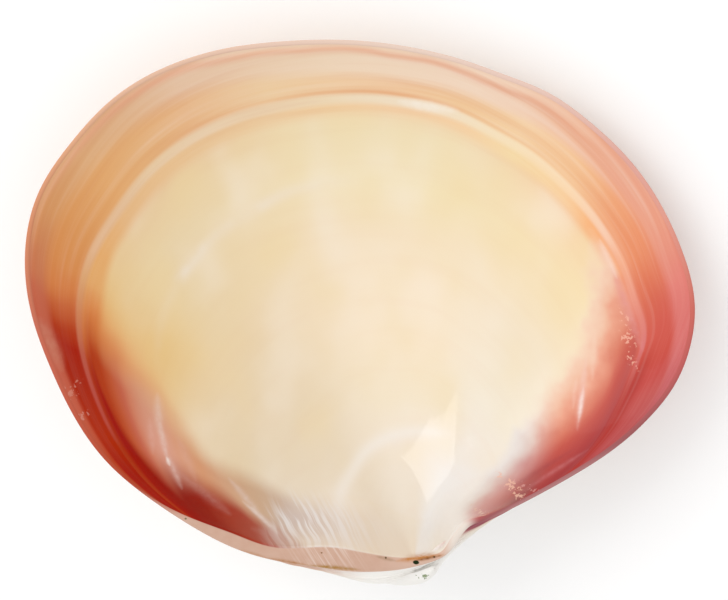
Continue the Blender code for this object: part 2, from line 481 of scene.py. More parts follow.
def makeValve(material):
    curve = closedCurve(margin, outside["rays"])
    grown, sizes = makeOutside(curve, material)
    sunk = makeHollow(curve, grown, material)
    around = len(curve)

    outer = readPoints(grown.data).reshape(len(sizes), around, 3)
    inner = readPoints(sunk.data).reshape(-1, around, 3)
    innerGrowth = readNumbers(sunk.data, "growth").reshape(-1, around)
    inner[..., 2] = rubbed(inner[..., 2], inner)
    innerGrowth = rubbed(innerGrowth, inner)
    x, y, reach = hollow["old at notch"]
    notch = np.exp(-((np.hypot(inner[..., 0] - x, inner[..., 1] - y) / reach) ** 4))
    innerGrowth += (hollow["growth at notch"] - innerGrowth) * notch
    lip = lipRings(curve)
    rings = list(outer[::-1]) + lip + list(inner)
    growth = [np.full(around, size) for size in sizes[::-1]]
    growth += [innerGrowth[0]] * len(lip) + list(innerGrowth)
    zone = [np.zeros(around)] * len(sizes)
    zone += [np.full(around, (i + 1) / (len(lip) + 1)) for i in range(len(lip))]
    zone += [np.ones(around)] * len(inner)

    beak = Vector(outside["Beak"]) - Vector((0, 0, outside["Rim Thickness"]))
    last = inner[-1].mean(axis=0)
    points = np.concatenate(rings + [np.array([beak]), np.array([last])])
    growth = np.concatenate(growth + [[0.0], [innerGrowth[-1].mean()]])
    zone = np.concatenate(zone + [[0.0], [1.0]])
    rays = np.arange(around) / around
    ray = np.concatenate([np.tile(rays, len(rings)), [0.0, 0.0]])
    fan = np.column_stack([np.cos(ray * math.tau), np.sin(ray * math.tau), np.zeros(len(ray))])

    faces = gridFaces(len(rings), around)
    first, final = len(points) - 2, len(points) - 1
    lastRing = (len(rings) - 1) * around
    for at in range(around):
        beside = (at + 1) % around
        faces.append((first, beside, at))
        faces.append((final, lastRing + at, lastRing + beside))

    valve = sheetObject("shellValve", points, faces, growth=growth, zone=zone, ray=ray, fan=fan, place=points)
    runTree(valve, reliefTree(material), relief)
    for spare in (grown, sunk):
        bpy.data.objects.remove(spare, do_unlink=True)
    return valve


def layDown(valve, packed):
    # Turns the valve as it rests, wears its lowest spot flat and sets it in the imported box.
    points = readPoints(valve.data) @ np.array(restTurn).T
    lowest = points[:, 2].min() + rest["worn flat"]
    points[:, 2] = np.maximum(points[:, 2], lowest)
    low, high = packed
    middle = (points.min(axis=0) + points.max(axis=0)) / 2 * mm
    shift = (np.array(low) + np.array(high)) / 2 - middle
    shift[2] = low[2] - lowest * mm
    points = points * mm + shift
    valve.data.vertices.foreach_set("co", points.astype(np.float32).ravel())
    valve.data.update()
    return Vector(shift)


inRoom = 0.95  # colours are a little darker than they look, because the room is bright


def tone(code):
    # A colour written as on a paint card, as the renderer counts it.
    shares = [int(code[i:i + 2], 16) / 255 for i in (0, 2, 4)]
    plain = [share / 12.92 if share < 0.04045 else ((share + 0.055) / 1.055) ** 2.4 for share in shares]
    return [inRoom * share for share in plain] + [1.0]


def blend(kit, share, under, over, mode="MIX"):
    node = kit.add("ShaderNodeMix", data_type="RGBA", blend_type=mode, clamp_factor=True)
    for socket, value in ((0, share), (6, under), (7, over)):
        kit.wire(tone(value) if isinstance(value, str) else value, node.inputs[socket])
    return node.outputs[2]


def ramp(kit, value, stops):
    # Colours along a value; the stops stand at their own numbers.
    low, high = stops[0][0], stops[-1][0]
    node = kit.add("ShaderNodeValToRGB")
    kit.wire(kit.over(kit.less(value, low), high - low), node.inputs[0])
    elements = node.color_ramp.elements
    while len(elements) > 1:
        elements.remove(elements[-1])
    for place, (at, code) in enumerate(stops):
        share = (at - low) / (high - low)
        element = elements[0] if place == 0 else elements.new(share)
        element.position = share
        element.color = tone(code)
    return node.outputs[0]


def curve(kit, value, stops, most=1.0):
    # A number from 0 to most that follows another along a drawn curve.
    low, high = stops[0][0], stops[-1][0]
    node = kit.add("ShaderNodeFloatCurve")
    kit.wire(kit.over(kit.less(value, low), high - low), node.inputs["Value"])
    line = node.mapping.curves[0]
    for place, (at, height) in enumerate(stops):
        where = ((at - low) / (high - low), height / most)
        if place in (0, len(stops) - 1):
            line.points[0 if place == 0 else -1].location = where
        else:
            line.points.new(*where)
    node.mapping.update()
    return kit.times(node.outputs[0], most)


def streakGroup():
    # 1 along a short line between two places, fading over its width and towards its ends.
    tree = bpy.data.node_groups.new("streak", "ShaderNodeTree")
    for label in ("Place", "From", "To"):
        tree.interface.new_socket(label, in_out="INPUT", socket_type="NodeSocketVector")
    tree.interface.new_socket("Width", in_out="INPUT", socket_type="NodeSocketFloat")
    tree.interface.new_socket("Share", in_out="OUTPUT", socket_type="NodeSocketFloat")
    kit = Kit(tree)
    given = kit.add("NodeGroupInput").outputs
    x, y, _ = kit.parts(given["Place"])
    flat = kit.whole(x, y, 0.0)
    along = kit.vector("SUBTRACT", given["To"], given["From"])
    reach = kit.vector("SUBTRACT", flat, given["From"])
    reached, whole = (kit.vector("DOT_PRODUCT", line, along) for line in (reach, along))
    share = kit.sum("MINIMUM", kit.sum("MAXIMUM", kit.over(reached, whole), 0.0), 1.0)
    apart = kit.vector("DISTANCE", reach, kit.scaled(along, share))
    middle = kit.times(share, kit.less(1.0, share), 4.0)
    width = kit.times(given["Width"], kit.plus(kit.times(middle, 0.7), 0.3))
    faded = kit.times(kit.bump(apart, 0.0, width), kit.sum("POWER", middle, 0.6))
    kit.add("NodeGroupOutput", {"Share": faded})


def patchGroup():
    # 1 in the middle of an oval patch, fading towards its edge.
    tree = bpy.data.node_groups.new("patch", "ShaderNodeTree")
    for label in ("Place", "Middle", "Reach"):
        tree.interface.new_socket(label, in_out="INPUT", socket_type="NodeSocketVector")
    tree.interface.new_socket("Turn", in_out="INPUT", socket_type="NodeSocketFloat")
    tree.interface.new_socket("Share", in_out="OUTPUT", socket_type="NodeSocketFloat")
    kit = Kit(tree)
    given = kit.add("NodeGroupInput").outputs
    turned = kit.turned(kit.vector("SUBTRACT", given["Place"], given["Middle"]), given["Turn"])
    x, y, _ = kit.parts(kit.vector("DIVIDE", turned, given["Reach"]))
    apart = kit.plus(kit.times(x, x), kit.times(y, y))
    kit.add("NodeGroupOutput", {"Share": kit.sum("EXPONENT", kit.times(apart, -1.0))})


def streakShare(kit, place, start, end, width):
    inputs = {"Place": place, "From": (*start, 0), "To": (*end, 0), "Width": width}
    return kit.add("ShaderNodeGroup", inputs, node_tree=bpy.data.node_groups["streak"]).outputs[0]


def patchShare(kit, place, middle, reach, turn=0.0):
    inputs = {"Place": place, "Middle": (*middle, 0), "Reach": (*reach, 1), "Turn": math.radians(turn)}
    return kit.add("ShaderNodeGroup", inputs, node_tree=bpy.data.node_groups["patch"]).outputs[0]


# noises through space: scale, detail and roughness
grains = {
    "wave": (0.09, 2),
    "blotches": (0.3, 2),
    "arc patches": (0.16, 2),
    "fraying": (1.4, 2),
    "flakes": (1.9, 3, 0.6),
    "plate": (0.8, 3),
    "ragged": (2.2, 3),
    "outer wave": (0.07, 3),
    "crumbs": (3, 3, 0.6),
}

# noises over two numbers: the scale of each, a place of its own, detail and roughness
patterns = {
    "mottling": (0.15, 0.1, 4, 1.5, 0.4),
    "bands": (34, 0.02, 0, 3, 0.6),
    "fine bands": (120, 0.035, 4, 2, 0.6),
    "wrinkles": (2.4, 0.1, 7, 2, 0.6),
    "plate lines": (3.4, 0.1, 3, 1, 0.5),
    "outer bands": (26, 0.006, 2, 4, 0.65),
    "growth lines": (150, 0.02, 0, 3, 0.6),
    "ripples": (30, 0.02, 9, 1, 0.5),
}


def pattern(kit, name, first, second):
    firstScale, secondScale, place, detail, roughness = patterns[name]
    over = kit.whole(kit.times(first, firstScale), kit.times(second, secondScale), place)
    return kit.noise(over, 1.0, detail, roughness)


insideLook = {
    "fan point": (6.5, -29.9),
    # growth at the line where the mantle held, and at a pale arc below it, by bearing
    "pallial line": [
        (20, 0.76), (35, 0.78), (38, 0.80), (41, 0.825), (44, 0.852), (50, 0.856), (55, 0.864), (60, 0.868),
        (68, 0.877), (76, 0.887), (84, 0.902), (92, 0.903), (100, 0.898), (108, 0.888), (116, 0.876),
        (124, 0.864), (136, 0.851), (148, 0.856), (156, 0.863), (165, 0.85), (190, 0.85),
    ],
    "inner pale arc": [
        (90, 0.76), (107, 0.752), (117, 0.722), (124, 0.71), (129, 0.70), (136, 0.682), (147, 0.652),
        (156, 0.668), (160, 0.68),
    ],
    # growth at the pale arc round the umbo, a painted reflection, by bearing
    "umbo reflection": [
        (50, 0.37), (60, 0.36), (81, 0.35), (96, 0.34), (113, 0.32), (128, 0.29), (140, 0.27), (156, 0.24),
        (175, 0.20),
    ],
    "lively": [
        (20, 0.2), (40, 0.25), (52, 0.7), (60, 1), (116, 1), (126, 0.7), (134, 0.6), (141, 0.4), (147, 0.12),
        (190, 0.1),
    ],
    # bearing at the middle of the front red, and where the hind reds begin, by growth; all in degrees
    "front red": [
        (0, 34), (0.2, 35), (0.3, 35.8), (0.4, 37), (0.46, 38.2), (0.52, 39.2), (0.6, 39.5), (0.65, 40),
        (0.7, 41), (0.74, 42.5), (0.77, 44.8), (0.82, 47.2), (0.85, 48.2), (0.9, 49), (1, 49),
    ],
    "hind red": [
        (0, 200), (0.2, 172), (0.25, 166), (0.3, 162), (0.4, 159), (0.5, 158), (0.6, 154.4), (0.7, 151.2),
        (0.75, 150), (0.78, 149.2), (0.82, 148), (0.88, 144.8), (1, 144),
    ],
    "hind deep from": [
        (0, 200), (0.2, 177), (0.3, 170.4), (0.4, 169), (0.45, 167), (0.5, 163.2), (0.57, 161.4),
        (0.62, 160.4), (0.7, 161), (0.74, 162.4), (0.77, 161.2), (0.8, 158), (0.82, 154), (0.84, 148.4),
        (1, 144),
    ],
    # colours by growth: before, at and behind the middle of the fan
    "fore": [
        (0.15, "ebe8e5"), (0.25, "ebe8e5"), (0.35, "eee7de"), (0.45, "ede4d1"), (0.6, "eddec4"),
        (0.68, "eedbb7"), (0.75, "efdab1"), (0.82, "efd2aa"), (0.88, "eec098"),
    ],
    "middle": [
        (0.15, "ebdfce"), (0.25, "ebdfcd"), (0.33, "efe3d2"), (0.4, "f0e2c7"), (0.5, "f4e4ca"),
        (0.6, "f4e4cb"), (0.68, "f1dfc0"), (0.76, "efdfb8"), (0.85, "ecdcb7"), (0.88, "ecd6b0"),
    ],
    "hind": [
        (0.15, "e2d3c1"), (0.3, "e4d5bc"), (0.42, "e6d4b5"), (0.55, "e9d4af"), (0.66, "e9d4aa"),
        (0.75, "e9d5ae"), (0.81, "e8cda2"), (0.86, "e4b886"),
    ],
    # colours by bearing
    "inner line": [
        (30, "a23c3e"), (36, "b03a36"), (38, "b8443c"), (41, "c65448"), (44, "d56c5c"), (47, "de7c68"),
        (50, "e6927a"), (55, "ed9c6b"), (60, "f0a468"), (68, "f1ca9c"), (76, "f0d8a8"), (84, "f0cfa4"),
        (92, "eecca4"), (100, "eccca0"), (108, "eacca2"), (116, "e8c699"), (124, "e7bf8e"), (130, "e5b986"),
        (136, "e5ad6e"), (140, "e3ad6e"), (143, "da925a"), (146, "d0743f"), (148.5, "bd4d21"),
        (151, "b13b1c"), (156, "ac3310"), (185, "a23010"),
    ],
    "pale line": [
        (30, "a84848"), (36, "b0423c"), (38, "ba4c42"), (41, "c8625a"), (44, "d27270"), (47, "dc8272"),
        (50, "e4947e"), (55, "edaa88"), (60, "f0c6ab"), (68, "f3d3ad"), (76, "f1dbb5"), (90, "ebdac0"),
        (100, "ead5b4"), (116, "e7cdac"), (124, "e6c9a3"), (130, "e3be97"), (136, "e2b68e"), (140, "dda875"),
        (144, "cf8258"), (148, "bc5c48"), (152, "b95044"), (156, "b6483a"), (159, "ab3412"), (185, "a42e0c"),
    ],
    "band": [
        (30, "b04c4e"), (35, "bc504c"), (38, "c04842"), (41, "c65044"), (44, "cd5b4e"), (47, "d26852"),
        (50, "d97658"), (55, "e49068"), (60, "e8a176"), (68, "edbf92"), (76, "efcea4"), (84, "ecc89c"),
        (92, "ebc59e"), (100, "ebc9a1"), (108, "e9c99e"), (116, "e5b688"), (124, "e3b17c"), (130, "e2aa70"),
        (136, "da985c"), (140, "d88e52"), (142, "d58148"), (144, "c66236"), (146, "b43c16"), (148, "a81e00"),
        (152, "a82608"), (158, "ae2a00"), (164, "a01400"), (172, "9a1c04"), (185, "a84a30"),
    ],
    "outer band": [
        (30, "b45c60"), (35, "bf5c5e"), (41, "d06c68"), (47, "dc7e74"), (50, "de8a78"), (55, "e39a80"),
        (60, "e4a48a"), (65, "e6ac90"), (70, "e8b698"), (76, "ebc8ae"), (84, "ecd1b9"), (92, "ecd4bb"),
        (100, "ebd3b8"), (108, "e8ccaf"), (116, "e5c3a5"), (124, "e1b58c"), (130, "dfae7e"), (136, "d89b66"),
        (140, "d18a5b"), (144, "c5684b"), (148, "c05c46"), (156, "c25c44"), (162, "b5401c"), (170, "ac4a30"),
        (185, "b87060"),
    ],
    "lip": [
        (10, "e8dace"), (20, "e2d0c4"), (26, "c69a98"), (30, "9a5a5c"), (36, "bb5e5c"), (42, "c8695f"),
        (48, "d68678"), (54, "dd9a8a"), (62, "dba498"), (75, "e2c2b4"), (90, "e2cabb"), (105, "e0c2b0"),
        (120, "dcb399"), (130, "d8a17e"), (140, "cd8663"), (148, "c06a55"), (156, "bb5a44"), (165, "b0492f"),
        (169, "c89a88"), (173, "dcc3b4"), (185, "dabaa6"),
    ],
    # the front reds by bearing before and past their middle: near the hinge, and farther out
    "front near hinge": [
        (-14, "8c5458"), (-8, "955858"), (-4.5, "ae605d"), (-2.5, "bb7774"), (0, "c88f8b"), (2, "cfa5a0"),
        (4, "d6bab4"), (6, "dccdc7"), (9, "e5ded9"), (17, "ede7e0"),
    ],
    "front far out": [
        (-14, "a03f42"), (-10, "a23c3e"), (-7, "ae4442"), (-5, "b64c46"), (-3, "bf5449"), (-1.5, "c86353"),
        (0, "d37862"), (2, "dc8d74"), (4.5, "e5a086"), (7, "eabba0"), (9.5, "edcab2"), (12, "eed6bc"),
        (17, "f0deba"),
    ],
    # the hind reds by growth
    "hind deep": [
        (0.2, "c8a298"), (0.3, "be8c80"), (0.38, "b06a5a"), (0.47, "a84838"), (0.56, "a0301c"),
        (0.64, "921400"), (0.7, "8e0e00"), (0.78, "930a00"), (0.83, "9e1000"), (0.9, "a81a00"),
        (0.97, "b03c20"),
    ],
    "hind soft": [
        (0.2, "d6c6b6"), (0.3, "cdb49c"), (0.36, "cbae94"), (0.42, "cdaa8c"), (0.5, "d2a484"),
        (0.56, "d69c76"), (0.62, "d99e7c"), (0.66, "d7a084"), (0.7, "d29276"), (0.735, "cd7c5e"),
        (0.755, "c4644a"), (0.785, "be5530"), (0.81, "b23c12"), (0.86, "ac320c"),
    ],
    "streaks": [
        # from, to, width, strength, colour
        ((-25.1, -10), (-24.6, -15.4), 0.5, 0.35, "e8d8d0"),
        ((-24.7, -13.6), (-23.6, -18.2), 0.34, 0.5, "e8d4cc"),
        ((-23.8, -17.2), (-21.6, -21.8), 0.34, 0.45, "e2c4bc"),
        ((-22.6, -15.4), (-20, -21), 0.5, 0.3, "dcb0a4"), ((-25.9, -13), (-25.2, -17.6), 0.4, 0.3, "e0b4a8"),
        ((-23.7, -17.8), (-23.2, -19), 0.2, 0.75, "f3e8e2"),
        ((-22.4, -19.6), (-15.6, -25), 0.5, 0.3, "d0a097"),
        ((-16.4, -20.6), (-11.4, -26.2), 0.36, 0.45, "e2d2cc"),
        ((-14.6, -23.4), (-9, -28), 0.24, 0.6, "e8dcd8"), ((27.6, -5.6), (26.3, -14.6), 0.4, 0.4, "eccac2"),
        ((27.2, -9.2), (26.5, -13.6), 0.26, 0.65, "f2e0da"), ((26.4, -8), (25.9, -12), 0.3, 0.3, "f0d4c4"),
        ((28.6, -2.6), (28.2, -8.6), 0.4, 0.3, "f2d8c4"), ((30.4, 5.6), (34.2, -5), 0.6, 0.5, "e09a96"),
        ((29, 8.8), (31.2, 3.8), 0.34, 0.5, "f4d8c8"), ((-38.7, -0.6), (-35.7, -7.4), 0.75, 0.95, "c67862"),
        # the pale streak from (4.4, 25.5) to (12.2, 24.2) is a painted highlight
        ((4.4, 25.5), (12.2, 24.2), 0.6, 0.5, "f6efe6"), ((17.6, -22), (26, -16.6), 0.3, 0.3, "8f3f47"),
        ((19.4, -21.9), (27.6, -16.6), 0.24, 0.35, "cc868a"),
        ((-13.4, -26.4), (-5.2, -29), 0.5, 0.55, "b2766c"),
    ],
    "flakes": [
        # middle, reach, turn, strength, colour
        ((-34.9, -10), (0.9, 2), 25, 0.7, "cf8674"), ((-33.2, -12.6), (0.8, 0.8), 0, 0.7, "d08a7c"),
        ((32.4, -3.4), (0.8, 3.8), -12, 0.7, "f0b49e"), ((18.6, -21.6), (2.6, 0.7), 42, 0.8, "e8b8a4"),
        ((14.6, -24.3), (1.6, 0.5), 28, 0.7, "dcb4a0"), ((21, -21.6), (3.2, 0.35), 26, 0.6, "d8a09c"),
    ],
    # the ivory grounds, by bearing
    "fore to middle": (62, 88),
    "middle to hind": (98, 130),
    # the mottling over them
    "milky": (0.45, 0.8),
    "buttery": (0.52, 0.22),
    "ochre by bearing": (143, 7),
    "ochre by growth": (0.48, 0.7),
    # the mantle's line; the colours follow each other by growth past it
    "top of line": (94, 18),
    "hind of line": (133, 142),
    "wider behind": 0.02,
    "narrower at top": 0.01,
    "to inner line": (-0.045, -0.02),
    "to pale line": (-0.013, -0.002),
    "to band": (0.004, 0.014),
    "edge of line": (0.013, 0.0035),
    "darkest past line": (0.025, 0.03),
    "darkest by bearing": (43, 38),
    # the front red, by degrees past its middle, growth, and millimetres from the fan point
    "front blotches": 8,
    "front sway": 2,
    "front blotched": (-2, 4),
    "front near to far": (0.44, 0.6),
    "front red ends": (14, 8),
    "front red from fan": (6.5, 9.5),
    # the hind reds, in the same measures
    "hind reds from fan": (12.5, 17),
    "glow before red": (-3.6, 3.4),
    "glow by growth": (0.5, 0.8),
    "to soft red": (-7, 0.5),
    "to deep red": (-3.5, 4),
    # the bands along the margin, by growth and by bearing
    "outer band ragged": 0.02,
    "outer band from": (0.925, 0.955),
    "rosy from": 0.968,
    "rosy gain": 0.015,
    "rosy nears lip": (60, 100),
    "rosy begins": (56, 64),
    "rosy ends": (142, 128),
    "rosy width": 0.0065,
    "bands from line": (-0.06, 0.02),
    "bands inside line": 0.15,
    "paler past line": 0.75,
    "deeper past line": 0.9,
    # the pale arc inside the mantle line, the painted reflection round the umbo, and the pink
    "inner pale arc begins": (90, 125),
    "inner pale arc ends": (146, 134),
    "inner pale arc width": 0.011,
    "unbroken": (0.38, 0.62),
    "unworn strength": 0.45,
    "least strength": 0.12,
    "umbo reflection begins": (66, 80),
    "umbo reflection ends": (168, 152),
    "umbo reflection width": 0.012,
    "pink by bearing": (156.5, 4.5),
    "pink by growth": (0.68, 0.05),
    # how far the bearing and the growth sway, and where the reds end inside the line
    "bearing sway": 6,
    "growth sway": 0.02,
    "within line": (0, -0.03),
    # the streaks fray by a noise, with a least strength; the flakes are the high spots of another
    "fraying": (1.2, 0.3),
    "flakes in patch": 0.14,
    "flake edge": (0.64, 0.69),
    "patch edge": (0.15, 0.5),
    "wrinkles": {"middle": (-7.2, -26), "reach": (6.6, 2.2), "turn": 8, "fade in": (-12.8, -8.4),
                 "slope": -33, "sway": 1.2, "crest": (0.42, 0.6)},
    # what is laid over the ground: colour and strength
    "tints": {
        "milky": ("f5ede2", 0.35), "buttery": ("ecd6a2", 0.35), "ochre": ("e6be76", 0.75),
        "line edge": ("e3a878", 0.55), "darkest": ("aa302a", 0.85), "glow": ("e08b48", 0.8),
        "rosy": ("e2a283", 0.55), "pale band": ("f2e4d6", 1), "deep band": ("e8a070", 1),
        # the tint for the arc round the umbo is a painted reflection
        "fine band": ("f4e8de", 0.5), "inner pale arc": ("efe6dc", 1), "umbo reflection": ("f1ece6", 0.5),
        "pink": ("dca090", 0.6), "wrinkle floor": ("cebfba", 0.9), "wrinkle crest": ("eae8ea", 0.9),
    },
}


def placeNumbers(kit):
    # Where a point lies: millimetres over the lip's plane, growth, and bearing about the beak.
    place = kit.add("ShaderNodeAttribute", attribute_name="place").outputs["Vector"]
    growth = kit.add("ShaderNodeAttribute", attribute_name="growth").outputs["Fac"]
    zone = kit.add("ShaderNodeAttribute", attribute_name="zone").outputs["Fac"]
    x, y, z = kit.parts(place)
    fanX, fanY = insideLook["fan point"]
    away = kit.less(x, fanX), kit.less(y, fanY)
    turned = kit.times(kit.sum("ARCTAN2", away[0], away[1]), 180 / math.pi)
    return place, x, y, growth, zone, kit.less(90, turned)


def tinted(kit, share, under, name, mode="MIX"):
    # Lays one of the hollow's tints over a colour, at the tint's own strength.
    code, strength = insideLook["tints"][name]
    return blend(kit, kit.times(share, strength), under, code, mode)


def ivory(kit, x, y, grown, bearingSoft):
    # The creamy ground of the hollow, from the front end round to the hind end.
    look = insideLook
    fore, middle, hind = (ramp(kit, grown, look[name]) for name in ("fore", "middle", "hind"))
    colour = blend(kit, kit.rise(bearingSoft, *look["fore to middle"]), fore, middle)
    colour = blend(kit, kit.rise(bearingSoft, *look["middle to hind"]), colour, hind)
    mottled = pattern(kit, "mottling", x, y)
    colour = tinted(kit, kit.rise(mottled, *look["milky"]), colour, "milky")
    colour = tinted(kit, kit.rise(mottled, *look["buttery"]), colour, "buttery")
    ochre = kit.bump(bearingSoft, *look["ochre by bearing"])
    ochre = kit.times(ochre, kit.rise(grown, *look["ochre by growth"]))
    return tinted(kit, ochre, colour, "ochre")


def mantleLine(kit, colour, fromLine, bearing, bearingSoft):
    # The line where the mantle held: darker inside, pale along it, and the band beyond.
    look = insideLook
    inner, pale, band = (ramp(kit, bearingSoft, look[name]) for name in ("inner line", "pale line", "band"))
    atTop = kit.bump(bearing, *look["top of line"])
    atHind = kit.rise(bearing, *look["hind of line"])
    wider = kit.less(kit.times(atHind, look["wider behind"]), kit.times(atTop, look["narrower at top"]))
    colour = blend(kit, kit.rise(kit.plus(fromLine, wider), *look["to inner line"]), colour, inner)
    colour = blend(kit, kit.rise(fromLine, *look["to pale line"]), colour, pale)
    colour = blend(kit, kit.rise(fromLine, *look["to band"]), colour, band)
    colour = tinted(kit, kit.times(kit.bump(fromLine, *look["edge of line"]), atTop), colour, "line edge")
    darkest = kit.bump(fromLine, *look["darkest past line"])
    darkest = kit.times(darkest, kit.rise(bearing, *look["darkest by bearing"]))
    return tinted(kit, darkest, colour, "darkest")


def frontRed(kit, colour, place, growth, grown, bearing, wave, inner, fromFan):
    # The red at the front end of the hinge, by how far the bearing is past its middle.
    look = insideLook
    blotched = kit.times(kit.less(kit.noise(place, *grains["blotches"]), 0.5), look["front blotches"])
    swaying = kit.plus(bearing, kit.times(wave, look["front sway"]))
    past = kit.less(swaying, curve(kit, grown, look["front red"], 100))
    past = kit.plus(past, kit.times(blotched, kit.rise(past, *look["front blotched"])))
    nearHinge, farOut = (ramp(kit, past, look["front " + name]) for name in ("near hinge", "far out"))
    red = blend(kit, kit.rise(growth, *look["front near to far"]), nearHinge, farOut)
    before, clear = kit.rise(past, *look["front red ends"]), kit.rise(fromFan, *look["front red from fan"])
    return blend(kit, kit.times(before, inner, clear), colour, red)


def hindReds(kit, colour, grown, bearingSoft, inner, fromFan):
    # The soft red at the hind end with an orange glow before it, and the deep red behind.
    look = insideLook
    within = kit.times(inner, kit.rise(fromFan, *look["hind reds from fan"]))
    past = kit.less(bearingSoft, curve(kit, grown, look["hind red"], 200))
    glow = kit.times(kit.bump(past, *look["glow before red"]), kit.rise(grown, *look["glow by growth"]))
    colour = tinted(kit, kit.times(glow, within), colour, "glow")
    soft = kit.times(kit.rise(past, *look["to soft red"]), within)
    colour = blend(kit, soft, colour, ramp(kit, grown, look["hind soft"]))
    past = kit.less(bearingSoft, curve(kit, grown, look["hind deep from"], 200))
    deep = kit.times(kit.rise(past, *look["to deep red"]), within)
    return blend(kit, deep, colour, ramp(kit, grown, look["hind deep"]))


def growthBands(kit, colour, fromLine, growth, grown, bearing, bearingSoft):
    # The outer band, the rosy line just inside the margin, and fine bands that follow the growth.
    look = insideLook
    bands = kit.less(pattern(kit, "bands", fromLine, bearing), 0.5)
    fineBands = kit.less(pattern(kit, "fine bands", fromLine, bearing), 0.5)
    outer = kit.rise(kit.plus(growth, kit.times(bands, look["outer band ragged"])), *look["outer band from"])
    colour = blend(kit, outer, colour, ramp(kit, bearingSoft, look["outer band"]))
    nearing = kit.rise(bearing, *look["rosy nears lip"])
    rosy = kit.plus(look["rosy from"], kit.times(nearing, look["rosy gain"]))
    ends = kit.times(kit.rise(bearing, *look["rosy begins"]), kit.rise(bearing, *look["rosy ends"]))
    colour = tinted(kit, kit.times(kit.bump(grown, rosy, look["rosy width"]), ends), colour, "rosy")
    lively = curve(kit, bearing, look["lively"])
    strong = kit.times(kit.rise(fromLine, *look["bands from line"]), lively)
    raised, fallen = (kit.sum("MAXIMUM", kit.times(bands, side), 0) for side in (1, -1))
    lighter, darker = (kit.times(strong, look[name]) for name in ("paler past line", "deeper past line"))
    lighter = kit.plus(lighter, kit.times(lively, look["bands inside line"]))
    darker = kit.plus(darker, look["bands inside line"])
    colour = tinted(kit, kit.times(raised, lighter), colour, "pale band")
    colour = tinted(kit, kit.times(fallen, darker), colour, "deep band", "MULTIPLY")
    return tinted(kit, kit.times(kit.sum("MAXIMUM", fineBands, 0), strong), colour, "fine band")


def paleArcUmboReflectionAndPink(kit, colour, place, growth, bearing):
    # A patchy pale arc inside the mantle line, a painted reflection round the umbo, and the pink at the hind
    # end.
    look = insideLook
    old, umbo = (curve(kit, bearing, look[name]) for name in ("inner pale arc", "umbo reflection"))
    ends = kit.times(kit.rise(bearing, *look["inner pale arc begins"]), kit.rise(bearing, *look["inner pale arc ends"]))
    unbroken = kit.rise(kit.noise(place, *grains["arc patches"]), *look["unbroken"])
    patchy = kit.plus(kit.times(unbroken, look["unworn strength"]), look["least strength"])
    line = kit.times(kit.bump(growth, old, look["inner pale arc width"]), ends, patchy)
    colour = tinted(kit, line, colour, "inner pale arc")
    # the pale arc round the umbo is a painted reflection
    ends = kit.times(kit.rise(bearing, *look["umbo reflection begins"]), kit.rise(bearing, *look["umbo reflection ends"]))
    line = kit.times(kit.bump(growth, umbo, look["umbo reflection width"]), ends)
    colour = tinted(kit, line, colour, "umbo reflection")
    pink = kit.times(kit.bump(bearing, *look["pink by bearing"]), kit.bump(growth, *look["pink by growth"]))
    return tinted(kit, pink, colour, "pink")


def streaksWithPaintedHighlight(kit, colour, place):
    # Pale and dark streaks and flakes over the hollow; one pale streak is a painted highlight.
    look = insideLook
    fraying, least = look["fraying"]
    frayed = kit.plus(kit.times(kit.noise(place, *grains["fraying"]), fraying), least)
    for start, end, width, strength, code in look["streaks"]:
        share = streakShare(kit, place, start, end, width)
        colour = blend(kit, kit.times(share, frayed, strength), colour, code)
    flaky = kit.noise(place, *grains["flakes"])
    for middle, reach, turn, strength, code in look["flakes"]:
        share = patchShare(kit, place, middle, reach, turn)
        flakes = kit.rise(kit.plus(flaky, kit.times(share, look["flakes in patch"])), *look["flake edge"])
        within = kit.rise(share, *look["patch edge"])
        colour = blend(kit, kit.times(flakes, within, strength), colour, code)
    return colour


def wrinkled(kit, colour, place, x, y, wave):
    # Fine white wrinkles beside the hinge plate.
    folds = insideLook["wrinkles"]
    share = patchShare(kit, place, folds["middle"], folds["reach"], folds["turn"])
    share = kit.times(share, kit.rise(x, *folds["fade in"]))
    swayed = kit.vector("ADD", place, kit.scaled(kit.whole(wave, wave, 0), folds["sway"]))
    across = kit.parts(kit.turned(swayed, math.radians(folds["slope"])))[0]
    lines = pattern(kit, "wrinkles", across, kit.less(x, y))
    colour = tinted(kit, share, colour, "wrinkle floor")
    return tinted(kit, kit.times(share, kit.rise(lines, *folds["crest"])), colour, "wrinkle crest")


def insideColour(kit, place, x, y, growth, bearing):
    # Laid down in order, from the ivory ground to the marks on top.
    look = insideLook
    wave = kit.less(kit.noise(place, *grains["wave"]), 0.5)
    bearingSoft = kit.plus(bearing, kit.times(wave, look["bearing sway"]))
    grown = kit.plus(growth, kit.times(wave, look["growth sway"]))
    fromLine = kit.less(growth, curve(kit, bearing, look["pallial line"]))
    inner = kit.rise(fromLine, *look["within line"])
    fromFan = kit.vector("DISTANCE", kit.whole(x, y, 0), (*look["fan point"], 0))
    colour = ivory(kit, x, y, grown, bearingSoft)
    colour = mantleLine(kit, colour, fromLine, bearing, bearingSoft)
    colour = frontRed(kit, colour, place, growth, grown, bearing, wave, inner, fromFan)
    colour = hindReds(kit, colour, grown, bearingSoft, inner, fromFan)
    colour = growthBands(kit, colour, fromLine, growth, grown, bearing, bearingSoft)
    colour = paleArcUmboReflectionAndPink(kit, colour, place, growth, bearing)
    colour = streaksWithPaintedHighlight(kit, colour, place)
    return wrinkled(kit, colour, place, x, y, wave)


